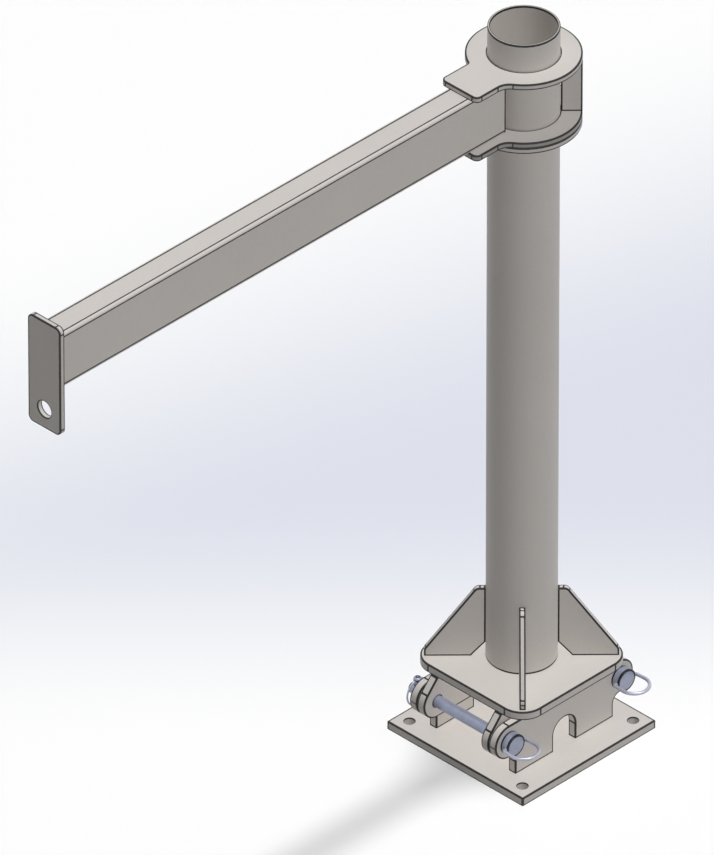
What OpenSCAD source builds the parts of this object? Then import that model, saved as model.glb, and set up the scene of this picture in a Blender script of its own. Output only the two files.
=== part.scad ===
// Davit crane: a slewing lifting arm on a mast that is pinned to a bolted base.
// +X is the arm's direction, +Y is the side of the pin heads, +Z is up.
// The origin is the centre of the base plate's underside.

/* [Base plate] */
// Side of the square base plate
base_side = 300; // [290:5:400]
// Thickness of the base plate
base_t = 15; // [8:1:25]
// Spacing of the four anchor holes, both ways
anchor_spacing = 250; // [220:5:260]
// Diameter of an anchor hole
anchor_d = 18; // [10:1:26]

/* [Cheeks on the base] */
// Distance between the two hinge pins
pin_spacing = 250; // [230:5:280]
// Height of the pins above the base plate
pin_rise = 70; // [60:1:90]
// Thickness of a cheek
cheek_t = 15; // [10:1:20]
// Distance between the inner faces of the cheeks
cheek_gap = 160; // [150:2:180]
// Radius of a cheek's round ends
cheek_r = 30; // [26:1:36]
// Radius of the fillet beside a cheek's foot
cheek_foot_r = 15; // [8:1:20]
// Width of the arch in a cheek
arch_w = 50; // [30:2:80]
// Height of the arch in a cheek
arch_h = 55; // [45:1:75]

/* [Lugs and foot plate] */
// Thickness of a lug
lug_t = 15; // [10:1:20]
// Radius of a lug's round ends
lug_r = 30; // [26:1:36]
// Height of the foot plate's underside above the pins
foot_rise = 45; // [40:1:60]
// Side of the square foot plate
foot_side = 250; // [240:5:290]
// Thickness of the foot plate
foot_t = 15; // [8:1:25]
// Corner radius of the foot plate
foot_corner_r = 40; // [20:1:60]

/* [Mast] */
// Outside diameter of the mast tube
mast_d = 114.3; // [101.6:0.1:127]
// Wall of the mast tube
mast_wall = 4; // [2.5:0.5:8]
// Length of the mast tube
mast_len = 1200; // [800:10:1600]
// Length of mast that stands above the upper head plate
mast_stub = 50; // [30:5:120]

/* [Gussets] */
// Thickness of a gusset
gusset_t = 10; // [6:1:16]
// Height of a gusset
gusset_h = 130; // [90:5:200]
// Distance from a gusset's toe to the foot plate's corner edge
gusset_setback = 6; // [3:1:20]
// Width of the flat at the top of a gusset
gusset_top_w = 15; // [11:1:25]
// Height of a gusset's toe
gusset_toe_h = 13; // [11:1:25]
// Radius of a gusset's two outer corners
gusset_round_r = 10; // [4:1:12]
// Width of the cut-off inner corner of a gusset
snipe_w = 23; // [10:1:30]
// Height of the cut-off inner corner of a gusset
snipe_h = 27; // [10:1:40]

/* [Slewing head] */
// Radius of the round of the head plates and the collar
head_r = 92; // [86:1:110]
// Thickness of a head plate
head_plate_t = 10; // [6:1:16]
// Thickness of the collar under the head
collar_t = 10; // [6:1:16]
// Width of the tongue that holds the arm
tongue_w = 80; // [70:2:100]
// Distance from the mast's axis to the tongue's end
tongue_reach = 145; // [130:1:180]
// Corner radius of the tongue
tongue_corner_r = 10; // [3:1:20]
// Fillet between the round and the tongue on the left
neck_left_r = 25; // [10:1:40]
// Fillet between the round and the tongue on the right
neck_right_r = 5; // [3:1:40]
// Thickness of a head rib
rib_t = 6; // [4:1:12]

/* [Arm] */
// Height of the arm's box section
arm_h = 100; // [60:5:140]
// Width of the arm's box section
arm_w = 50; // [40:2:60]
// Wall of the arm's box section
arm_wall = 4; // [2:0.5:6]
// Corner radius of the arm's box section
arm_corner_r = 5; // [4:0.5:10]
// Length of the arm's box section
arm_len = 980; // [500:10:1400]
// Gap between the mast and the arm's inner end
arm_back_gap = 7.85; // [5:0.05:12]
// Width of the end plate
end_w = 70; // [60:2:100]
// Height of the end plate
end_h = 200; // [180:5:260]
// Thickness of the end plate
end_t = 10; // [6:1:16]
// Corner radius of the end plate
end_corner_r = 10; // [4:1:20]
// Height of the end plate's top above the arm
end_above = 20; // [5:1:30]
// Diameter of the lifting eye
eye_d = 30; // [20:1:40]
// Height of the lifting eye above the end plate's lower edge
eye_rise = 35; // [25:1:45]

/* [Hinge pins] */
// Diameter of a hinge pin
pin_d = 20; // [16:1:24]
// Diameter of a pin's head
pin_head_d = 39; // [30:1:44]
// Length of a pin's head
pin_head_len = 16; // [13:1:24]
// Length of pin that stands out of the far cheek
pin_tip = 25; // [20:1:35]
// Chamfer at the pin's tip
pin_chamfer = 2; // [0.5:0.5:4]

/* [Pull rings] */
// Wire diameter of a pull ring
ring_wire = 6; // [3:0.5:7]
// Radius of a pull ring, to the middle of its wire
ring_r = 24.75; // [24:0.25:32]
// Length of the straight leg between a pull ring's turn and its round
ring_leg = 18; // [10:0.5:22]
// Length of a pull ring's ends, from where they turn in
ring_stub = 12; // [6:0.5:16]
// Distance from the pin's face back to the pull ring's hinge
ring_set = 4.5; // [4:0.5:8]

/* [Linch pins] */
// Shaft diameter of a linch pin
linch_d = 6; // [4.5:0.5:8]
// Distance from the cheek to the linch pin's axis
linch_set = 12; // [8:0.5:15]
// Length of linch pin that stands out below the hinge pin
linch_tail = 12; // [6:1:15]
// Diameter of a linch pin's head
linch_head_d = 14; // [12:0.5:16]
// Height of a linch pin's head
linch_head_h = 15; // [13:0.5:18]
// Radius of the round at the top of a linch pin's head
linch_top_r = 3.5; // [1:0.5:5]
// Height of the ring's hinge above the underside of the head
linch_hinge_h = 8.4; // [6:0.2:10]
// Wire diameter of a linch pin's ring
linch_wire = 3; // [2:0.5:3.5]
// Radius of a linch pin's ring, to the middle of its wire
linch_ring_r = 23.5; // [22:0.5:26]
// Length of the ring's ends, from where they turn in
linch_stub = 6; // [4:0.5:7]

/* [Clearances] */
// Radial clearance of a hinge pin in its bores
pin_clear = 0.25; // [0.1:0.05:1]
// Gap between a lug and the cheek beside it
lug_clear = 2; // [0.5:0.5:4]
// Radial clearance of the head plates and ribs on the mast
slew_clear = 0.75; // [0.3:0.05:1.5]
// Radial clearance of a ring's wire in its hole
wire_clear = 0.4; // [0.2:0.1:0.8]
// Radial clearance of a linch pin in its hole
linch_clear = 0.2; // [0.1:0.05:0.5]
// Gap between the side of a head and the wire beside it
side_clear = 0.5; // [0.3:0.1:1.5]

/* [Hidden] */
$fn = 96;
// A cut runs this far past the faces that it opens
past = 1;
// Pieces of an arc in a gusset's outline
arc_steps = 10;
// Depth that a neck fillet's corners sink into the plate
neck_sink = 0.5;
// A ball at a ring's turn is this much larger in radius than the wire
turn_swell = 0.1;
// Paint on the welded frames, and the plating on the pins
paint = [0.73, 0.71, 0.68];
plating = [0.62, 0.65, 0.74];

pin_x = pin_spacing / 2;
pin_z = base_t + pin_rise;
cheek_out_y = cheek_gap / 2 + cheek_t;
lug_out_y = cheek_gap / 2 - lug_clear;
bore_r = pin_d / 2 + pin_clear;
foot_z = pin_z + foot_rise;
mast_z = foot_z + foot_t;
mast_r = mast_d / 2;
mast_top_z = mast_z + mast_len;
upper_plate_z = mast_top_z - mast_stub - head_plate_t;
arm_z = upper_plate_z - arm_h;
lower_plate_z = arm_z - head_plate_t;
collar_z = lower_plate_z - collar_t;
slew_r = mast_r + slew_clear;
arm_x = mast_r + arm_back_gap;
end_x = arm_x + arm_len;
end_z = arm_z + arm_h + end_above - end_h;
foot_corner_reach = (foot_side / 2 - foot_corner_r) * sqrt(2) + foot_corner_r;
gusset_reach = foot_corner_reach - gusset_setback;
pin_face_y = cheek_out_y + pin_head_len;
ring_hinge_y = pin_face_y - ring_set;
linch_y = -cheek_out_y - linch_set;
linch_seat_z = pin_z + pin_d / 2 + linch_clear / 2;
linch_hinge_z = linch_seat_z + linch_hinge_h;

// Turns an outline in X and Z into a plate from y0 to y0 + t
module upright_plate(y0, t) {
    translate([0, y0 + t, 0])
        rotate([90, 0, 0])
            linear_extrude(height = t) children();
}

// A rectangle with round corners, its lower left corner at the origin
module round_rect(w, h, r) {
    translate([r, 0]) square([w - 2 * r, h]);
    translate([0, r]) square([w, h - 2 * r]);
    for (x = [r, w - r], y = [r, h - r])
        translate([x, y]) circle(r = r);
}

module base_plate() {
    color(paint)
        difference() {
            translate([-base_side / 2, -base_side / 2, 0])
                cube([base_side, base_side, base_t]);
            for (x = [-1, 1], y = [-1, 1])
                translate([x * anchor_spacing / 2, y * anchor_spacing / 2, -past])
                    cylinder(d = anchor_d, h = base_t + 2 * past);
        }
}

module cheek_outline() {
    foot_x = pin_x - cheek_foot_r;
    under_z = pin_z - cheek_r;
    difference() {
        union() {
            for (x = [-pin_x, pin_x])
                translate([x, pin_z]) circle(r = cheek_r);
            translate([-pin_x, under_z]) square([2 * pin_x, 2 * cheek_r]);
            translate([-foot_x, base_t]) square([2 * foot_x, pin_z - base_t]);
            for (s = [-1, 1])
                difference() {
                    translate([s * (foot_x + cheek_foot_r / 2), under_z])
                        square([cheek_foot_r, 2 * cheek_foot_r], center = true);
                    translate([s * pin_x, under_z - cheek_foot_r]) circle(r = cheek_foot_r);
                }
        }
        for (x = [-pin_x, pin_x])
            translate([x, pin_z]) circle(r = bore_r);
        translate([-arch_w / 2, base_t - past])
            square([arch_w, arch_h - arch_w / 2 + past]);
        translate([0, base_t + arch_h - arch_w / 2]) circle(d = arch_w);
    }
}

module cheek_left() {
    color(paint)
        upright_plate(cheek_gap / 2, cheek_t) cheek_outline();
}

module cheek_right() {
    color(paint)
        upright_plate(-cheek_out_y, cheek_t) cheek_outline();
}

// The sloping edge leaves the round end as a tangent to the foot plate's edge
module lug_outline() {
    over_x = foot_side / 2 - pin_x;
    slope = atan2(foot_rise, over_x) - acos(lug_r / norm([over_x, foot_rise]));
    tangent_x = pin_x + lug_r * cos(slope);
    tangent_z = pin_z + lug_r * sin(slope);
    difference() {
        union() {
            for (x = [-pin_x, pin_x])
                translate([x, pin_z]) circle(r = lug_r);
            polygon([
                [-pin_x, pin_z - lug_r], [pin_x, pin_z - lug_r],
                [tangent_x, tangent_z], [foot_side / 2, foot_z],
                [-foot_side / 2, foot_z], [-tangent_x, tangent_z]
            ]);
        }
        for (x = [-pin_x, pin_x])
            translate([x, pin_z]) circle(r = bore_r);
    }
}

module lug_left() {
    color(paint)
        upright_plate(lug_out_y - lug_t, lug_t) lug_outline();
}

module lug_right() {
    color(paint)
        upright_plate(-lug_out_y, lug_t) lug_outline();
}

module foot_plate() {
    color(paint)
        translate([-foot_side / 2, -foot_side / 2, foot_z])
            linear_extrude(height = foot_t)
                round_rect(foot_side, foot_side, foot_corner_r);
}

module mast_tube() {
    color(paint)
        translate([0, 0, mast_z])
            difference() {
                cylinder(r = mast_r, h = mast_len);
                translate([0, 0, -past])
                    cylinder(r = mast_r - mast_wall, h = mast_len + 2 * past);
            }
}

// Points of a round corner of radius r at c, from angle a0 down to a1
function corner_arc(c, r, a0, a1) = [
    for (i = [0:arc_steps])
        let (a = a0 + (a1 - a0) * i / arc_steps)
            [c[0] + r * cos(a), c[1] + r * sin(a)]
];

// Outline of a gusset in radius and height; fall is the angle of its long edge below level
module gusset_outline() {
    top_x = mast_r + gusset_top_w;
    fall = atan2(gusset_h - gusset_toe_h, gusset_reach - top_x);
    top_back = gusset_round_r * tan(fall / 2);
    toe_back = gusset_round_r * tan((90 - fall) / 2);
    top_c = [top_x - top_back, mast_z + gusset_h - gusset_round_r];
    toe_c = [gusset_reach - gusset_round_r, mast_z + gusset_toe_h - toe_back];
    root_x = mast_r - mast_wall / 2;
    intersection() {
        polygon(concat(
            [[root_x, mast_z + gusset_h]],
            corner_arc(top_c, gusset_round_r, 90, 90 - fall),
            corner_arc(toe_c, gusset_round_r, 90 - fall, 0),
            [[gusset_reach, mast_z], [mast_r + snipe_w, mast_z]],
            [[mast_r, mast_z + snipe_h], [root_x, mast_z + snipe_h]]
        ));
        translate([root_x, mast_z])
            square([gusset_reach, gusset_h]);
    }
}

module gusset(angle) {
    color(paint)
        rotate([0, 0, angle])
            difference() {
                upright_plate(-gusset_t / 2, gusset_t) gusset_outline();
                translate([0, 0, mast_z])
                    cylinder(r = mast_r, h = gusset_h + past);
            }
}

module head_collar() {
    color(paint)
        translate([0, 0, collar_z])
            difference() {
                cylinder(r = head_r, h = collar_t);
                translate([0, 0, -past]) cylinder(r = mast_r, h = collar_t + 2 * past);
            }
}

// A concave fillet between the round and the tongue, on the left.
// The corners of the piece are sunk a little into the round and the tongue
module neck_fillet(r) {
    edge_y = tongue_w / 2;
    root_y = edge_y / 2;
    lead = asin((edge_y + r) / (head_r + r));
    meet_x = (head_r + r) * cos(lead);
    sunk_r = head_r - neck_sink;
    difference() {
        polygon([
            [slew_r, root_y],
            [meet_x, root_y],
            [meet_x, edge_y - neck_sink],
            [sunk_r * cos(lead), sunk_r * sin(lead)]
        ]);
        translate([meet_x, edge_y + r]) circle(r = r);
    }
}

module head_plate(z) {
    color(paint)
        translate([0, 0, z])
            linear_extrude(height = head_plate_t)
                difference() {
                    union() {
                        circle(r = head_r);
                        translate([0, -tongue_w / 2])
                            round_rect(tongue_reach, tongue_w, tongue_corner_r);
                        neck_fillet(neck_left_r);
                        mirror([0, 1]) neck_fillet(neck_right_r);
                    }
                    circle(r = slew_r);
                }
}

module lower_head_plate() {
    head_plate(lower_plate_z);
}

module upper_head_plate() {
    head_plate(upper_plate_z);
}

// A rib stands between the head plates and ends flush with their round
module head_rib(angle) {
    color(paint)
        translate([0, 0, arm_z])
            linear_extrude(height = arm_h)
                difference() {
                    intersection() {
                        circle(r = head_r);
                        rotate(angle) translate([0, -rib_t / 2]) square([head_r, rib_t]);
                    }
                    circle(r = slew_r);
                }
}

module arm_tube() {
    bore_w = arm_w - 2 * arm_wall;
    bore_h = arm_h - 2 * arm_wall;
    bore_corner_r = max(arm_corner_r - arm_wall, 0.5);
    color(paint)
        translate([arm_x, -arm_w / 2, arm_z])
            rotate([90, 0, 90])
                linear_extrude(height = arm_len)
                    difference() {
                        round_rect(arm_w, arm_h, arm_corner_r);
                        translate([arm_wall, arm_wall])
                            round_rect(bore_w, bore_h, bore_corner_r);
                    }
}

module arm_end_plate() {
    color(paint)
        translate([end_x, -end_w / 2, end_z])
            rotate([90, 0, 90])
                linear_extrude(height = end_t)
                    difference() {
                        round_rect(end_w, end_h, end_corner_r);
                        translate([end_w / 2, eye_rise]) circle(d = eye_d);
                    }
}

// The pin lies along Y: its head on the left cheek, its tip through the right cheek
module hinge_pin(x) {
    tip_y = -cheek_out_y - pin_tip;
    color(plating)
        difference() {
            translate([x, 0, pin_z])
                rotate([-90, 0, 0])
                    rotate_extrude()
                        polygon([
                            [0, tip_y], [pin_d / 2 - pin_chamfer, tip_y],
                            [pin_d / 2, tip_y + pin_chamfer], [pin_d / 2, cheek_out_y],
                            [pin_head_d / 2, cheek_out_y], [pin_head_d / 2, pin_face_y],
                            [0, pin_face_y]
                        ]);
            translate([x - pin_head_d, ring_hinge_y, pin_z])
                rotate([0, 90, 0])
                    cylinder(d = ring_wire + 2 * wire_clear, h = 2 * pin_head_d);
            translate([x, linch_y, pin_z - pin_d])
                cylinder(d = linch_d + 2 * linch_clear, h = 2 * pin_d);
        }
}

// The linch pin hangs in the pin's tip by its round-topped head
module linch_pin(x) {
    shaft_len = linch_seat_z - pin_z + pin_d / 2 + linch_tail;
    color(plating)
        difference() {
            translate([x, linch_y, linch_seat_z]) {
                rotate_extrude() {
                    square([linch_head_d / 2, linch_head_h - linch_top_r]);
                    square([linch_head_d / 2 - linch_top_r, linch_head_h]);
                    translate([linch_head_d / 2 - linch_top_r, linch_head_h - linch_top_r])
                        intersection() {
                            circle(r = linch_top_r);
                            square(linch_top_r);
                        }
                }
                translate([0, 0, -shaft_len]) cylinder(d = linch_d, h = shaft_len);
            }
            translate([x - linch_head_d, linch_y, linch_hinge_z])
                rotate([0, 90, 0])
                    cylinder(d = linch_wire + 2 * wire_clear, h = 2 * linch_head_d);
        }
}

// A wire ring in the plane of X and Y that is open at its hinge axis, X, where its two ends
// turn in to enter a hole; half is where they turn, leg is the straight wire from there to
// the round, which it meets without a kink, and a ball rounds each joint
module hinged_ring(wire, r, half, stub, leg = 0) {
    reach = sqrt(pow(r, 2) + pow(leg, 2) - pow(half, 2));
    start = atan2(leg, r) - atan2(reach, half);
    translate([0, reach, 0])
        rotate([0, 0, start])
            rotate_extrude(angle = 180 - 2 * start)
                translate([r, 0]) circle(d = wire);
    for (s = [-1, 1])
        translate([s * half, 0, 0]) {
            sphere(r = wire / 2 + turn_swell);
            rotate([0, -s * 90, 0]) cylinder(d = wire, h = stub);
            if (leg > 0)
                rotate([0, 0, s * start]) {
                    rotate([-90, 0, 0]) cylinder(d = wire, h = leg);
                    translate([0, leg, 0]) sphere(r = wire / 2 + turn_swell);
                }
        }
}

module pull_ring(x) {
    half = (pin_head_d + ring_wire) / 2 + turn_swell + side_clear;
    color(plating)
        translate([x, ring_hinge_y, pin_z])
            hinged_ring(ring_wire, ring_r, half, ring_stub, ring_leg);
}

module linch_ring(x) {
    half = (linch_head_d + linch_wire) / 2 + turn_swell + side_clear;
    color(plating)
        translate([x, linch_y, linch_hinge_z])
            rotate([-90, 0, 0])
                hinged_ring(linch_wire, linch_ring_r, half, linch_stub);
}

base_plate();
cheek_left();
cheek_right();
hinge_pin(pin_x);  // front_pin
hinge_pin(-pin_x);  // rear_pin
linch_pin(pin_x);  // front_linch_pin
linch_pin(-pin_x);  // rear_linch_pin
pull_ring(pin_x);  // front_pull_ring
pull_ring(-pin_x);  // rear_pull_ring
linch_ring(pin_x);  // front_linch_ring
linch_ring(-pin_x);  // rear_linch_ring
foot_plate();
lug_left();
lug_right();
mast_tube();
gusset(45);  // gusset_front_left
gusset(135);  // gusset_rear_left
gusset(225);  // gusset_rear_right
gusset(315);  // gusset_front_right
head_collar();
lower_head_plate();
upper_head_plate();
head_rib(135);  // head_rib_left
head_rib(225);  // head_rib_right
arm_tube();
arm_end_plate();
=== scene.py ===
from math import cos, pi, radians, sin

import bmesh
import bpy
import numpy as np
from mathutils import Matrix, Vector
from mathutils.geometry import tessellate_polygon


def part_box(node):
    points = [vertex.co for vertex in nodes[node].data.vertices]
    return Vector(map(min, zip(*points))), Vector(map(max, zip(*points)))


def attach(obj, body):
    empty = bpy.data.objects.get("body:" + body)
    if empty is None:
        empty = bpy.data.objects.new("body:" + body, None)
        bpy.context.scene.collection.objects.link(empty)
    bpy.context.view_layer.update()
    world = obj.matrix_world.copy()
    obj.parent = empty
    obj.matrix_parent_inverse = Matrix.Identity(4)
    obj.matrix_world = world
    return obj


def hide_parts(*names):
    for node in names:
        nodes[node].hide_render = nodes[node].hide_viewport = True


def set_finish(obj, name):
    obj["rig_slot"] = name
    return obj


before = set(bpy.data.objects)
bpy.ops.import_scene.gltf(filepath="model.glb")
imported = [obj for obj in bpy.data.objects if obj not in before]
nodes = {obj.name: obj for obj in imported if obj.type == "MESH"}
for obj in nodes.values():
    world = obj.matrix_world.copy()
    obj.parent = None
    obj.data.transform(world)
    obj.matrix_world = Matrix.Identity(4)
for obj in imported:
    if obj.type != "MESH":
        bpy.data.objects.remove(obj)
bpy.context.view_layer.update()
mm = 0.001
print("frame loaded,", len(nodes), "nodes")

# Softened edges, in millimetres: the round, where the dark line beside it has faded out on a face (rim) and
# on the side (sideRim), a hole's own round and rim, the steps of a round, the longest step of a larger arc
# (gap) and its widest in degrees (gapTurn), the length over which a line across an edge fades, the largest
# share of a stretch between its end and a support point, and the factor that bows that point inwards
edge = {"round": 0.8, "rim": 4.0, "sideRim": 3.4, "holeRound": 0.4, "holeRim": 2.4, "steps": 3, "gap": 4.0,
    "gapTurn": 7, "fade": 2.0, "share": 0.4, "bow": 1.01}
tubeEdge = {"rim": 1.9, "sideRim": 5.0, "holeRim": 1.9}
# Steps of turned and drilled pieces and of wires, the angle of a sharp lip, and sizes that count as nothing:
# merge and flat are in metres, same and area in millimetres. The corner of a wire's path is nudged off the
# arc's end by nudge
fine = {"pin": 64, "linch": 48, "drill": 32, "sharp": 50, "ringArc": 240, "wireStep": 0.5, "wireEnd": 5,
    "wireRound": 20, "merge": 2e-6, "flat": 1e-7, "same": 1e-6, "area": 1e-9, "nudge": 1e-3}
alongX, alongY, alongZ = np.eye(3)


def span(node, axis):
    # lowest and highest place of a CAD node along an axis, in millimetres
    lo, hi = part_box(node)
    return lo[axis] / mm, hi[axis] / mm


# Outlines

def arc(cx, cy, r, a0, a1):
    # points and outward normals of an arc about (cx, cy), from a0 to a1 degrees; turning clockwise makes
    # it concave. Both ends have one short step, where a thin line may fade out
    turn = radians(a1 - a0)
    longest, widest = abs(turn) * r / edge["gap"], abs(turn) / radians(edge["gapTurn"])
    steps = max(int(np.ceil(longest)), int(np.ceil(widest)), edge["steps"])
    lead = min(edge["fade"] / (abs(turn) * r), 0.5 / steps)
    t = np.concatenate([[0, lead], np.linspace(0, 1, steps + 1)[1:-1], [1 - lead, 1]])
    a = radians(a0) + turn * t
    side = 1.0 if a1 > a0 else -1.0
    normal = side * np.stack([np.cos(a), np.sin(a)], 1)
    point = np.array([cx, cy]) + side * r * normal
    line = np.zeros(len(t))
    line[[0, -1]] = 1.0
    reach = np.full(len(t), r if side > 0 else np.inf)
    return point, normal, line, reach, np.zeros_like(point)


def corner(before, at, after, r):
    # a corner between two straight lines, filleted to radius r, or softened if r is 0
    into, out = at - before, after - at
    into, out = into / np.linalg.norm(into), out / np.linalg.norm(out)
    turn = np.arctan2(into[0] * out[1] - into[1] * out[0], into @ out)
    side = np.sign(turn)
    sharp = r == 0
    r = edge["round"] if sharp else r
    normal0 = np.array([into[1], -into[0]])
    start = at - into * r * np.tan(abs(turn) / 2)
    centre = start - side * r * normal0
    a0 = np.degrees(np.arctan2(*(side * normal0)[::-1]))
    point, normal, line, reach, mitre = arc(centre[0], centre[1], r, a0, a0 + np.degrees(turn))
    if sharp:
        line[:] = 1.0
        if side > 0:
            mitre[:] = (normal[0] + normal[-1]) / (1 + normal[0] @ normal[-1])
    return point, normal, line, reach, mitre


def straight(points, along, bow=1.0):
    # the same for points on a straight stretch that runs along a unit vector
    count = len(points)
    normal = bow * np.repeat([[along[1], -along[0]]], count, 0)
    return points, normal, np.zeros(count), np.full(count, np.inf), np.zeros((count, 2))


def outline(parts, closed=True):
    # joins corners (x, y, r) and arcs (cx, cy, r, a0, a1) into one path that keeps the solid on its left,
    # with a support point beside each end of a straight stretch. The supports bow into the solid a little,
    # so that no three points of a face's rim lie in line
    ends = []
    for part in parts:
        if len(part) == 3:
            ends.append((np.array(part[:2], float),) * 2)
        else:
            cx, cy, r = part[:3]
            ends.append(tuple(np.array([cx + r * cos(a), cy + r * sin(a)]) for a in map(radians, part[3:])))
    pieces = []
    for i, part in enumerate(parts):
        if len(part) == 5:
            pieces.append(arc(*part))
        elif closed or 0 < i < len(parts) - 1:
            pieces.append(corner(ends[i - 1][1], ends[i][0], ends[(i + 1) % len(parts)][0], part[2]))
        else:
            along = ends[1][0] - ends[0][1] if i == 0 else ends[i][0] - ends[i - 1][1]
            pieces.append(straight(np.array(ends[i][:1]), along / np.linalg.norm(along)))
    joined = []
    for i, piece in enumerate(pieces):
        joined.append(piece)
        if i == len(pieces) - 1 and not closed:
            break
        a, b = piece[0][-1], pieces[(i + 1) % len(pieces)][0][0]
        length = np.linalg.norm(b - a)
        if length > 2 * edge["rim"]:
            along = (b - a) / length
            near = min(edge["rim"], edge["share"] * length)
            joined.append(straight(np.array([a + along * near, b - along * near]), along, edge["bow"]))
    point, normal, line, reach, mitre = (np.concatenate(values) for values in zip(*joined))
    keep = np.linalg.norm(point - np.roll(point, 1, 0), axis=1) > fine["same"]
    if not closed:
        keep[0] = True
    path = {"point": point, "normal": normal, "line": line, "reach": reach, "mitre": mitre}
    return {key: values[keep] for key, values in path.items()}


def rectangle(x0, y0, x1, y1, r=0):
    # four corners, filleted to r
    return outline([(x0, y0, r), (x1, y0, r), (x1, y1, r), (x0, y1, r)])


def disc(r, cx=0, cy=0, a0=0, a1=360):
    # one full arc, without a line where its ends meet
    path = outline([(cx, cy, r, a0, a1)])
    path["line"][:] = 0
    return path


def hole(cx, cy, r):
    # a disc that turns clockwise, so that it is concave
    return disc(r, cx, cy, 360, 0)


def insetPath(path, depth):
    # the path moved into the solid by depth; past the centre of a small round it follows the mitre
    first = np.minimum(depth, path["reach"])[:, None]
    rest = np.maximum(depth - path["reach"], 0)[:, None]
    rest[~np.isfinite(path["reach"])] = 0
    return path["point"] - first * path["normal"] - rest * path["mitre"]


# Meshes

def makeObject(name, points, faces, lines):
    # a mesh object in metres, its doubles merged, with the thin dark lines as an attribute
    mesh = bpy.data.meshes.new(name)
    mesh.from_pydata(points * mm, [], faces)
    mesh.attributes.new("edgeLine", "FLOAT", "POINT").data.foreach_set("value", lines.astype(np.float32))
    work = bmesh.new()
    work.from_mesh(mesh)
    bmesh.ops.remove_doubles(work, verts=work.verts, dist=fine["merge"])
    bmesh.ops.dissolve_degenerate(work, edges=work.edges, dist=fine["flat"])
    if work.calc_volume(signed=True) < 0:
        bmesh.ops.reverse_faces(work, faces=work.faces)
    for face in work.faces:
        face.smooth = True
    work.to_mesh(mesh)
    work.free()
    piece = bpy.data.objects.new(name, mesh)
    bpy.context.scene.collection.objects.link(piece)
    return piece


def gridFaces(rows, columns, start, closed):
    # quads of a grid whose point (i, j) has the number start + i * columns + j
    i = np.arange(rows if closed else rows - 1)[:, None]
    j = np.arange(columns - 1)[None]
    k = (i + 1) % rows
    quads = np.stack([i * columns + j, k * columns + j, k * columns + j + 1, i * columns + j + 1], -1)
    return start + quads.reshape(-1, 4)


def edgeProfile(thickness, r, rim, sideRim):
    # rows (depth into the plate, height, line) over a plate's edge: rim, round, side, round, rim
    a = np.linspace(0, pi / 2, edge["steps"] + 1)
    low = np.stack([r - r * np.sin(a), r - r * np.cos(a), np.ones_like(a)], 1)
    low = np.concatenate([[[rim, 0, 0]], low, [[0, min(sideRim, thickness / 2), 0]]])
    high = low[::-1] * [1, -1, 1] + [0, thickness, 0]
    return np.concatenate([low, high])


def plate(name, outer, holes, thickness, origin, u, v, rim=edge["rim"], sideRim=edge["sideRim"],
        holeRim=edge["holeRim"]):
    # an outline in the plane of u and v, thickness along u x v from the origin: each path is carried over
    # the edge profile, and the two flat faces are filled between the paths' inner rims
    u, v = np.array(u, float), np.array(v, float)
    w = np.cross(u, v)
    outerProfile = edgeProfile(thickness, edge["round"], rim, sideRim)
    holeProfile = edgeProfile(thickness, edge["holeRound"], holeRim, sideRim)
    points, lines, faces, rims = [], [], [], []
    start = 0
    for path in [outer] + holes:
        profile = outerProfile if path is outer else holeProfile
        flat = np.stack([insetPath(path, d) for d in profile[:, 0]], 1)
        height = np.broadcast_to(profile[:, 1], flat.shape[:2])
        points.append(flat[..., :1] * u + flat[..., 1:] * v + height[..., None] * w)
        onSide = profile[:, 0] < profile[0, 0]
        lines.append(np.maximum(profile[:, 2], onSide * path["line"][:, None]))
        rows, columns = flat.shape[:2]
        faces += gridFaces(rows, columns, start, True).tolist()
        rims.append((flat[:, 0], start + np.arange(rows) * columns))
        start += rows * columns
    rimPoints = [[Vector((x, y, 0)) for x, y in loop] for loop, number in rims]
    numbers = np.concatenate([number for loop, number in rims])
    spots = np.concatenate([loop for loop, number in rims])
    caps = np.array(tessellate_polygon(rimPoints))
    a, b, c = spots[caps[:, 0]], spots[caps[:, 1]], spots[caps[:, 2]]
    area = (b[:, 0] - a[:, 0]) * (c[:, 1] - a[:, 1]) - (b[:, 1] - a[:, 1]) * (c[:, 0] - a[:, 0])
    caps = np.where(area[:, None] < 0, caps[:, ::-1], caps)[abs(area) > fine["area"]]
    faces += numbers[caps[:, ::-1]].tolist() + (numbers[caps] + len(outerProfile) - 1).tolist()
    points = np.concatenate([rows.reshape(-1, 3) for rows in points]) + np.array(origin, float)
    return makeObject(name, points, faces, np.concatenate([rows.ravel() for rows in lines]))


def radialPlate(name, path, thickness, turn):
    # an upright plate that stands out from the mast at an angle, its outline given as (distance out, height)
    out = np.array([cos(radians(turn)), sin(radians(turn)), 0])
    return plate(name, path, [], thickness, -np.cross(out, alongZ) * thickness / 2, out, alongZ)


def lathe(name, corners, centre, axis, side, segments):
    # turns a profile of (place along the axis, radius, fillet) round the axis from end to end
    path = outline(corners, closed=False)
    axis, side = np.array(axis, float), np.array(side, float)
    a = np.linspace(0, 2 * pi, segments, endpoint=False)
    spoke = np.cos(a)[:, None] * side + np.sin(a)[:, None] * np.cross(axis, side)
    place, radius = path["point"].T
    points = place[None, :, None] * axis + np.maximum(radius, 0)[None, :, None] * spoke[:, None]
    lines = np.broadcast_to(path["line"], points.shape[:2])
    faces = gridFaces(segments, len(place), 0, True).tolist()
    return makeObject(name, points.reshape(-1, 3) + np.array(centre, float), faces, lines.ravel())


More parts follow.
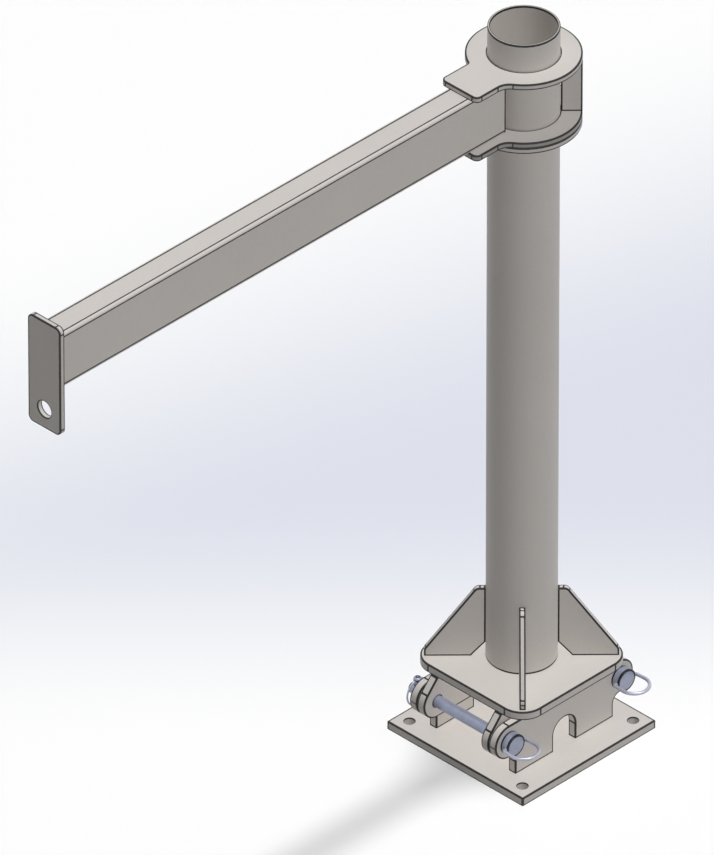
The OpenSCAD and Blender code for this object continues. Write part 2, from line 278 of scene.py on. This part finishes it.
def smoothPath(points, step, blur):
    # resamples a path at even steps and averages it over a window, so that its turns become bends
    length = np.concatenate([[0], np.cumsum(np.linalg.norm(np.diff(points, axis=0), axis=1))])
    at = np.linspace(0, length[-1], int(length[-1] / step) + 1)
    even = np.stack([np.interp(at, length, points[:, k]) for k in range(2)], 1)
    reach = int(blur / step)
    window = np.hanning(2 * reach + 3)[1:-1]
    window /= window.sum()
    first, last = even[0] - even[1], even[-1] - even[-2]
    steps = np.arange(reach, 0, -1)[:, None]
    padded = np.concatenate([even[0] + first * steps, even, even[-1] + last * steps[::-1]])
    return np.stack([np.convolve(padded[:, k], window, "valid") for k in range(2)], 1)


def wireRing(name, size, centre, u, v):
    # a circle carried along an open ring in the plane of u and v: a stub, a bend, a leg, the arc, and back
    half, r, stub, leg = size["half"], size["radius"], size["stub"], size["leg"]
    reach = np.sqrt(r ** 2 + leg ** 2 - half ** 2)
    start = np.arctan2(leg, r) - np.arctan2(reach, half)
    a = np.linspace(start, pi - start, fine["ringArc"])
    ring = np.stack([r * np.cos(a), reach + r * np.sin(a)], 1)
    low = -fine["nudge"]
    raw = np.concatenate([[[half - stub, 0], [half, low]], ring, [[-half, low], [stub - half, 0]]])
    path = smoothPath(raw, fine["wireStep"], size["bend"])
    along = np.gradient(path, axis=0)
    along /= np.linalg.norm(along, axis=1)[:, None]
    wire = size["wire"] / 2
    thick = np.full(len(path), wire)
    n = fine["wireEnd"]
    ends = wire * np.sin(np.linspace(0, pi / 2, n))   # the wire's two ends are rounded
    thick[:n], thick[-n:] = ends, ends[::-1]
    u, v = np.array(u, float), np.array(v, float)
    w = np.cross(u, v)
    spine = path[:, :1] * u + path[:, 1:] * v
    normal = along[:, 1:] * u - along[:, :1] * v
    t = np.linspace(0, 2 * pi, fine["wireRound"], endpoint=False)
    spoke = np.cos(t)[:, None, None] * normal[None] + np.sin(t)[:, None, None] * w
    tube = spine[None] + thick[None, :, None] * spoke
    faces = gridFaces(len(t), len(path), 0, True).tolist()
    points = tube.reshape(-1, 3) + np.array(centre, float)
    return makeObject(name, points, faces, np.zeros(len(points)))


def drill(piece, centre, axis, r, length):
    # cuts a round hole through a piece, then keeps the hole's lips sharp
    a = np.linspace(0, 2 * pi, fine["drill"], endpoint=False)
    axis = Vector(axis)
    turn = axis.to_track_quat("Z", "Y").to_matrix()
    ring = np.stack([np.cos(a) * r, np.sin(a) * r], 1)
    ends = np.array([-length / 2, length / 2])
    local = np.stack([np.repeat(ring[:, 0], 2), np.repeat(ring[:, 1], 2), np.tile(ends, len(a))], 1)
    points = local @ np.array(turn).T + np.array(centre, float)
    faces = gridFaces(len(a), 2, 0, True).tolist()
    faces += [list(range(0, 2 * len(a), 2))[::-1], list(range(1, 2 * len(a), 2))]
    cutter = makeObject("cutter", points, faces, np.zeros(len(points)))
    cut = piece.modifiers.new("hole", "BOOLEAN")
    cut.operation, cut.solver, cut.object = "DIFFERENCE", "EXACT", cutter
    cutMesh = bpy.data.meshes.new_from_object(piece.evaluated_get(bpy.context.evaluated_depsgraph_get()))
    piece.modifiers.clear()
    piece.data = cutMesh
    bpy.data.objects.remove(cutter)
    cutMesh.set_sharp_from_angle(angle=radians(fine["sharp"]))


made, casters = {}, []


def dress(piece, node, body, slot):
    # the piece stands for a CAD node, rides its body and takes its slot. The mast and the head cast the
    # floor's shadow; the lugs would only spot the floor beside the base plate
    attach(piece, body)
    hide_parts(node)
    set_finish(piece, slot)
    made[piece.name] = piece
    if body in ("mast", "head") and not node.startswith("lug"):
        casters.append(piece)


# Base: the bolted plate and two cheeks

base = {"holeAt": 125, "holeRadius": 9, "holeRim": 1.2}
x0, x1 = span("base_plate", 0)
z0, z1 = span("base_plate", 2)
at = (-base["holeAt"], base["holeAt"])
anchors = [hole(x, y, base["holeRadius"]) for x in at for y in at]
piece = plate("basePlate", rectangle(x0, x0, x1, x1), anchors, z1 - z0, (0, 0, z0), alongX, alongY,
    holeRim=base["holeRim"])
dress(piece, "base_plate", "base", "frame_paint")

pinX, pinZ, boreRadius = 125, 85, 10.25
bores = [hole(x, pinZ, boreRadius) for x in (-pinX, pinX)]
cheek = {"footX": 110, "footRound": 15, "endRound": 30, "archHalf": 25, "archTop": 70}
f, e, h, top = cheek["footX"], cheek["endRound"], cheek["archHalf"], cheek["archTop"]
foot, under, over, tipX = z1, pinZ - e, pinZ + e, pinX + e
cheekPath = [(-f, foot, 0), (-h, foot, 0), (-h, top, h), (h, top, h), (h, foot, 0), (f, foot, 0),
    (f, under, cheek["footRound"]), (tipX, under, e), (tipX, over, e), (-tipX, over, e), (-tipX, under, e),
    (-f, under, cheek["footRound"])]
for name, node in (("cheekLeft", "cheek_left"), ("cheekRight", "cheek_right")):
    y0, y1 = span(node, 1)
    piece = plate(name, outline(cheekPath), bores, y1 - y0, (0, y1, 0), alongX, alongZ)
    dress(piece, node, "base", "frame_paint")
print("base made")

# Mast: foot plate, two lugs, tube, four gussets and the collar

footPlate = {"cornerRound": 40}
x0, x1 = span("foot_plate", 0)
z0, z1 = span("foot_plate", 2)
footZ = z1
r = footPlate["cornerRound"]
footReach = (x1 - r) * 2 ** 0.5 + r   # from the mast's axis to a round corner
piece = plate("footPlate", rectangle(x0, x0, x1, x1, r), [], z1 - z0, (0, 0, z0), alongX, alongY)
dress(piece, "foot_plate", "mast", "frame_paint")

lug = {"endRound": 30, "edgeX": 125}
r, x, rise = lug["endRound"], lug["edgeX"], z0 - pinZ
lean = np.arctan2(rise, x - pinX) - np.arccos(r / np.hypot(x - pinX, rise))
slope = np.array([sin(lean), -cos(lean)])   # the sloping edge runs down along this
low = pinZ - r
outX = x + slope[0] * (z0 - low) / -slope[1]
lugPath = [(-outX, low, r), (outX, low, r), (x, z0, 0), (-x, z0, 0)]
for name, node in (("lugLeft", "lug_left"), ("lugRight", "lug_right")):
    y0, y1 = span(node, 1)
    piece = plate(name, outline(lugPath), bores, y1 - y0, (0, y1, 0), alongX, alongZ)
    dress(piece, node, "mast", "frame_paint")

mast = {"radius": 57.15, "wall": 4}
z0, z1 = span("mast_tube", 2)
bore = hole(0, 0, mast["radius"] - mast["wall"])
piece = plate("mastTube", disc(mast["radius"]), [bore], z1 - z0, (0, 0, z0), alongX, alongY, **tubeEdge)
dress(piece, "mast_tube", "mast", "frame_paint")

gusset = {"thickness": 10, "height": 130, "topWidth": 15, "toeHeight": 13, "round": 10, "snipe": (23, 27),
    "sink": 0.3, "toeInset": 6}
g = gusset
near, toe, high, r = mast["radius"] - g["sink"], footReach - g["toeInset"], footZ + g["height"], g["round"]
snipeX, topX = mast["radius"] + g["snipe"][0], mast["radius"] + g["topWidth"]
gussetPath = outline([(near, footZ + g["snipe"][1], 0), (snipeX, footZ, 0), (toe, footZ, 0),
    (toe, footZ + g["toeHeight"], r), (topX, high, r), (near, high, 0)])
for name, node, turn in (("gussetFrontLeft", "gusset_front_left", 45),
        ("gussetRearLeft", "gusset_rear_left", 135), ("gussetRearRight", "gusset_rear_right", 225),
        ("gussetFrontRight", "gusset_front_right", 315)):
    dress(radialPlate(name, gussetPath, g["thickness"], turn), node, "mast", "frame_paint")

head = {"radius": 92, "boreRadius": 57.9, "tongueHalf": 40, "tongueX": 145, "tongueRound": 10,
    "neckLeft": 25, "neckRight": 5, "ribThickness": 6, "ribInset": 0.05}
z0, z1 = span("head_collar", 2)
bore = hole(0, 0, mast["radius"])
piece = plate("headCollar", disc(head["radius"]), [bore], z1 - z0, (0, 0, z0), alongX, alongY)
dress(piece, "head_collar", "mast", "frame_paint")
print("mast made")

# Head: two plates with a tongue, two ribs, the arm and its end plate

def neck(r):
    # angle at which a neck fillet of radius r leaves the round, and the x of its centre
    lead = np.arcsin((head["tongueHalf"] + r) / (head["radius"] + r))
    return np.degrees(lead), (head["radius"] + r) * cos(lead)


leadLeft, leftX = neck(head["neckLeft"])
leadRight, rightX = neck(head["neckRight"])
t, tx, tr, rl, rr = (head[key] for key in ("tongueHalf", "tongueX", "tongueRound", "neckLeft", "neckRight"))
headPath = [(tx, -t, tr), (tx, t, tr), (leftX, t + rl, rl, 270, 180 + leadLeft),
    (0, 0, head["radius"], leadLeft, 360 - leadRight), (rightX, -t - rr, rr, 180 - leadRight, 90)]
bore = hole(0, 0, head["boreRadius"])
for name, node in (("lowerHeadPlate", "lower_head_plate"), ("upperHeadPlate", "upper_head_plate")):
    z0, z1 = span(node, 2)
    piece = plate(name, outline(headPath), [bore], z1 - z0, (0, 0, z0), alongX, alongY)
    dress(piece, node, "head", "frame_paint")
darker = made["lowerHeadPlate"].data   # painted shade: the lower plate, which lies under the upper plate, is drawn darker than the rest
tones = darker.attributes.new("tone", "FLOAT", "POINT")
tones.data.foreach_set("value", np.ones(len(darker.vertices), np.float32))

z0, z1 = span("head_rib_left", 2)
ribPath = rectangle(head["boreRadius"], z0, head["radius"] - head["ribInset"], z1)
for name, node, turn in (("headRibLeft", "head_rib_left", 135), ("headRibRight", "head_rib_right", 225)):
    dress(radialPlate(name, ribPath, head["ribThickness"], turn), node, "head", "frame_paint")

arm = {"cornerRound": 5, "wall": 4, "boreRound": 1}
x0, x1 = span("arm_tube", 0)
y0, y1 = span("arm_tube", 1)
z0, z1 = span("arm_tube", 2)
wall, r = arm["wall"], arm["boreRound"]
outside = rectangle(y0, z0, y1, z1, arm["cornerRound"])
iy0, iy1, iz0, iz1 = y0 + wall, y1 - wall, z0 + wall, z1 - wall
inside = outline([(iy0, iz0, r), (iy0, iz1, r), (iy1, iz1, r), (iy1, iz0, r)])
piece = plate("armTube", outside, [inside], x1 - x0, (x0, 0, 0), alongY, alongZ, **tubeEdge)
dress(piece, "arm_tube", "head", "frame_paint")

endPlate = {"cornerRound": 10, "eyeRadius": 15, "eyeZ": 1140}
x0, x1 = span("arm_end_plate", 0)
y0, y1 = span("arm_end_plate", 1)
z0, z1 = span("arm_end_plate", 2)
path = rectangle(y0, z0, y1, z1, endPlate["cornerRound"])
eye = hole(0, endPlate["eyeZ"], endPlate["eyeRadius"])
piece = plate("armEndPlate", path, [eye], x1 - x0, (x0, 0, 0), alongY, alongZ)
dress(piece, "arm_end_plate", "head", "frame_paint")
print("head and arm made")

# Pins, linch pins and their rings

pin = {"radius": 10, "headRadius": 19.5, "tipY": -120, "seatY": 95, "faceY": 111, "chamfer": 2,
    "ringY": 106.5, "ringHole": 3.4, "linchY": -107, "linchHole": 3.2}
linch = {"shaft": 3, "head": 7, "seatZ": 95.1, "topZ": 110.1, "tailZ": 63, "topRound": 3.5, "ringZ": 103.5,
    "ringHole": 1.9}
pullRing = {"wire": 6, "radius": 24.75, "half": 23.1, "leg": 18, "stub": 12, "bend": 3.0}
linchRing = {"wire": 3, "radius": 23.5, "half": 9.1, "leg": 0, "stub": 6, "bend": 2.0}
p, q = pin, linch
tip, seat, face, cut = (p[key] for key in ("tipY", "seatY", "faceY", "chamfer"))
r, big = p["radius"], p["headRadius"]
pinPath = [(tip, 0, 0), (tip, r - cut, 0), (tip + cut, r, 0), (seat, r, 0), (seat, big, 0), (face, big, 0),
    (face, 0, 0)]
tail, seat, top, r, big = (q[key] for key in ("tailZ", "seatZ", "topZ", "shaft", "head"))
linchPath = [(tail, 0, 0), (tail, r, 0), (seat, r, 0), (seat, big, 0), (top, big, q["topRound"]), (top, 0, 0)]
for end, x in (("front", pinX), ("rear", -pinX)):
    piece = lathe(end + "Pin", pinPath, (x, 0, pinZ), alongY, alongX, fine["pin"])
    drill(piece, (x, p["ringY"], pinZ), alongX, p["ringHole"], 4 * p["headRadius"])
    drill(piece, (x, p["linchY"], pinZ), alongZ, p["linchHole"], 4 * p["radius"])
    dress(piece, end + "_pin", "base", "pin_steel")
    piece = lathe(end + "LinchPin", linchPath, (x, p["linchY"], 0), alongZ, alongX, fine["linch"])
    drill(piece, (x, p["linchY"], q["ringZ"]), alongX, q["ringHole"], 4 * q["head"])
    dress(piece, end + "_linch_pin", "base", "pin_steel")
    piece = wireRing(end + "PullRing", pullRing, (x, p["ringY"], pinZ), alongX, alongY)
    dress(piece, end + "_pull_ring", end + "_pull_ring", "ring_wire")
    piece = wireRing(end + "LinchRing", linchRing, (x, p["linchY"], q["ringZ"]), alongX, -alongZ)
    dress(piece, end + "_linch_ring", end + "_linch_ring", "ring_wire")
print("pins and rings made")


# Materials

class Flow:
    # a value in a material; its operators add Math nodes, and add() makes any other node
    def __init__(self, tree, socket=None):
        self.tree, self.socket = tree, socket

    def add(self, kind, inputs=None, out=0, **settings):
        node = self.tree.nodes.new("ShaderNode" + kind)
        for key, value in settings.items():
            setattr(node, key, value)
        for key, value in (inputs or {}).items():
            if isinstance(value, Flow):
                self.tree.links.new(value.socket, node.inputs[key])
            else:
                node.inputs[key].default_value = value
        return Flow(self.tree, node.outputs[out] if node.outputs else None)

    def math(self, operation, *others):
        return self.add("Math", dict(enumerate(others)), operation=operation)

    def __add__(self, other): return self.math("ADD", self, other)
    def __sub__(self, other): return self.math("SUBTRACT", self, other)
    def __rsub__(self, other): return self.math("SUBTRACT", other, self)
    def __mul__(self, other): return self.math("MULTIPLY", self, other)
    __radd__, __rmul__ = __add__, __mul__

    def mix(self, one, two):
        # a colour between one and two
        return self.add("Mix", {0: self, 6: one, 7: two}, 2, data_type="RGBA")

    def fade(self, low, high):
        # 0 below low, 1 above high, smooth between
        return self.add("MapRange", {0: self, 1: low, 2: high}, interpolation_type="SMOOTHSTEP")


def linear(r, g, b):
    # a colour of 0 to 255, as seen, in Blender's linear values
    c = np.array([r, g, b]) / 255
    return (*np.where(c <= 0.04045, c / 12.92, ((c + 0.055) / 1.055) ** 2.4).tolist(), 1.0)


def startMaterial(name):
    # an empty material, its flow and its Object coordinates
    material = bpy.data.materials.new(name)
    material.use_nodes = True
    material.node_tree.nodes.clear()
    flow = Flow(material.node_tree)
    return material, flow, flow.add("TexCoord", out=3)


def noise(flow, where, scale, detail, rough=0.5):
    return flow.add("TexNoise", {"Vector": where, "Scale": scale, "Detail": detail, "Roughness": rough})


def edgeLine(flow, grain, look):
    # 1 on the thin dark lines and 0 beside them, with a border that the grain makes a little uneven
    line = flow.add("Attribute", out=2, attribute_name="edgeLine")
    return (line + (grain - 0.5) * look["uneven"]).fade(*look["lineFade"])


def looked(flow):
    # 1 where the camera sees a surface, also in gloss or through it, and 0 where it only lights others
    path = flow.add("LightPath").socket.node.outputs
    camera, gloss, through = (Flow(flow.tree, path["Is " + kind + " Ray"])
        for kind in ("Camera", "Glossy", "Transmission"))
    return flow.math("MAXIMUM", flow.math("MAXIMUM", camera, gloss), through)


# Noises are (scale, detail, roughness), depth is the bump's distance in metres
# dark is the colour of painted shade, laid on the lower head plate under the upper plate
paintLook = {"colour": (208, 203, 198), "shade": (203, 198, 193), "dark": (161, 157, 153),
    "line": (16, 15, 14), "lineFade": (0.3, 0.5), "uneven": 0.2, "cloud": (4.0, 3.0),
    "cloudFade": (0.35, 0.65), "grain": (220.0, 4.0, 0.6), "grainFade": (0.4, 0.6), "speck": 0.35,
    "roughness": 0.5, "spread": 0.12, "peel": (520.0, 2.0), "strength": 0.12, "depth": 0.001, "ior": 1.45}
steelLook = {"colour": (159, 165, 186), "shade": (151, 157, 178), "line": (20, 20, 26),
    "lineFade": (0.3, 0.5), "uneven": 0.25, "cloud": (60.0, 3.0), "cloudFade": (0.3, 0.7),
    "grain": (900.0, 3.0), "metal": 0.45, "roughness": 0.36, "spread": 0.15, "strength": 0.06,
    "depth": 0.0005}
wireLook = {**steelLook, "colour": (190, 191, 206), "shade": (180, 181, 197), "roughness": 0.3}


def painted(name, look):
    # grey paint with a fine orange peel, a fine grain and slight clouds, and dark lines at the edges; the
    # attribute tone darkens a piece with painted shade
    material, flow, where = startMaterial(name)
    cloud, grain, peel = (noise(flow, where, *look[kind]) for kind in ("cloud", "grain", "peel"))
    tone = flow.add("Attribute", out=2, attribute_name="tone")
    speck = look["speck"]
    cloudy = cloud.fade(*look["cloudFade"]) * (1 - speck) + grain.fade(*look["grainFade"]) * speck
    colour = cloudy.mix(linear(*look["colour"]), linear(*look["shade"]))
    # painted shade: where tone is 1, the colour turns to the dark colour
    colour = tone.mix(colour, linear(*look["dark"]))
    colour = edgeLine(flow, grain, look).mix(colour, linear(*look["line"]))
    bump = flow.add("Bump", {"Strength": look["strength"], "Distance": look["depth"], "Height": peel})
    rough = look["roughness"] + (grain - 0.5) * look["spread"]
    shader = flow.add("BsdfPrincipled", {"Base Color": colour, "Roughness": rough, "Normal": bump,
        "IOR": look["ior"]})
    flow.add("OutputMaterial", {"Surface": shader})
    return material


def plated(name, look):
    # bluish zinc plating with fine cloudy grain and dark lines at the edges
    material, flow, where = startMaterial(name)
    cloud, grain = (noise(flow, where, *look[kind]) for kind in ("cloud", "grain"))
    colour = cloud.fade(*look["cloudFade"]).mix(linear(*look["colour"]), linear(*look["shade"]))
    colour = edgeLine(flow, grain, look).mix(colour, linear(*look["line"]))
    bump = flow.add("Bump", {"Strength": look["strength"], "Distance": look["depth"], "Height": grain})
    rough = look["roughness"] + (cloud - 0.5) * look["spread"]
    shader = flow.add("BsdfPrincipled", {"Base Color": colour, "Metallic": look["metal"], "Roughness": rough,
        "Normal": bump})
    flow.add("OutputMaterial", {"Surface": shader})
    return material


finishes = {"frame_paint": painted("framePaint", paintLook), "pin_steel": plated("pinSteel", steelLook),
    "ring_wire": plated("ringWire", wireLook)}
for piece in made.values():
    piece.data.materials.clear()
    piece.data.materials.append(finishes[piece["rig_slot"]])
print("materials made")

# Floor, light and camera

# The floor's top is just under the crane, so that the two never share a plane. The floor is near-white, but
# for a bluish band that fades in and out across it, and it throws less light than it shows (bounce)
stage = {"near": (254, 254, 254), "far": (222, 225, 236), "backdrop": (240, 242, 247), "bounce": 0.25,
    "size": 12.0, "drop": 0.0003, "slant": 0.6, "fadeIn": (-2.6, -1.15), "fadeOut": (-0.95, 0.05),
    "sky": 0.16}
floorMesh = bpy.data.meshes.new("floor")
s = stage["size"]
floorMesh.from_pydata([(-s, -s, 0), (s, -s, 0), (s, s, 0), (-s, s, 0)], [], [(0, 1, 2, 3)])
floor = bpy.data.objects.new("floor", floorMesh)
bpy.context.scene.collection.objects.link(floor)
floor.location.z = -stage["drop"]
material, flow, where = startMaterial("floor")
x = flow.add("SeparateXYZ", {0: where})
y = Flow(flow.tree, x.socket.node.outputs[1])
depth, across = x + y, y - x
band = (depth + across * stage["slant"]).fade(*stage["fadeIn"]) * (1 - depth.fade(*stage["fadeOut"]))
seen = band.mix(linear(*stage["near"]), linear(*stage["far"]))
tone = looked(flow).mix((stage["bounce"],) * 3 + (1.0,), seen)
surface = flow.add("BsdfDiffuse", {"Color": tone})
flow.add("OutputMaterial", {"Surface": surface})
floorMesh.materials.append(material)

world = bpy.data.worlds.new("studio")
bpy.context.scene.world = world
world.use_nodes = True
world.node_tree.nodes.clear()
flow = Flow(world.node_tree)
sky = flow.add("Background", {"Color": (1, 1, 1, 1), "Strength": stage["sky"]})
backdrop = flow.add("Background", {"Color": linear(*stage["backdrop"]), "Strength": 1.0})
both = flow.add("MixShader", {0: looked(flow), 1: sky, 2: backdrop})
flow.add("OutputWorld", {"Surface": both})


def direction(azimuth, elevation):
    # unit vector from the crane towards a place in the sky, both angles in degrees
    a, e = radians(azimuth), radians(elevation)
    return Vector((cos(a) * cos(e), sin(a) * cos(e), sin(e)))


def sun(name, azimuth, elevation, share, spread, casts, floorLink=None):
    # a lamp far away: share is the part of full light on a face turned to it. It lights all but the floor
    # where floorLink is EXCLUDE. Where it is INCLUDE it lights only the floor, and only casters shade it
    data = bpy.data.lights.new(name, "SUN")
    data.energy, data.angle, data.use_shadow = share * pi, radians(spread), casts
    lamp = bpy.data.objects.new(name, data)
    lamp.rotation_euler = direction(azimuth, elevation).to_track_quat("Z", "Y").to_euler()
    bpy.context.scene.collection.objects.link(lamp)
    if floorLink:
        receivers = bpy.data.collections.new(name + "Receivers")
        receivers.objects.link(floor)
        receivers.collection_objects[0].light_linking.link_state = floorLink
        lamp.light_linking.receiver_collection = receivers
    if floorLink == "INCLUDE":
        blockers = bpy.data.collections.new(name + "Blockers")
        for piece in casters:
            blockers.objects.link(piece)
        lamp.light_linking.blocker_collection = blockers


# Each lamp's azimuth, elevation, share, spread, whether it casts shadows, and its link with the floor
lamps = {"floorShadow": (180, 86, 0.40, 4, True, "INCLUDE"), "overhead": (180, 86, 0.37, 4, False, "EXCLUDE"),
    "leftFill": (96, 55, 0.52, 30, False), "sideFill0": (0, 0, 0.04, 30, False),
    "sideFill180": (180, 0, 0.07, 30, False), "sideFill270": (270, 0, 0.07, 30, False)}
for name, settings in lamps.items():
    sun(name, *settings)

# A very long lens stands for a parallel view. In metres: the picture shows this height in the plane that
# stands this depth in front of the point aimed at
shot = {"aim": (-0.004, -0.3693, 0.3973), "azimuth": 44.66, "elevation": 34.98, "depth": 0.47,
    "height": 1.339, "lens": 1300, "sensor": 36, "clip": (1, 200)}
look = direction(shot["azimuth"], shot["elevation"])
lens = bpy.data.cameras.new("camera")
lens.lens, lens.sensor_width = shot["lens"], shot["sensor"]
lens.clip_start, lens.clip_end = shot["clip"]
camera = bpy.data.objects.new("camera", lens)
distance = shot["depth"] + shot["height"] * shot["lens"] / shot["sensor"]
camera.location = Vector(shot["aim"]) + look * distance
camera.rotation_euler = look.to_track_quat("Z", "Y").to_euler()
bpy.context.scene.collection.objects.link(camera)
bpy.context.scene.camera = camera
bpy.context.scene.view_settings.view_transform = "Standard"

print("scene made,", len(made), "pieces")
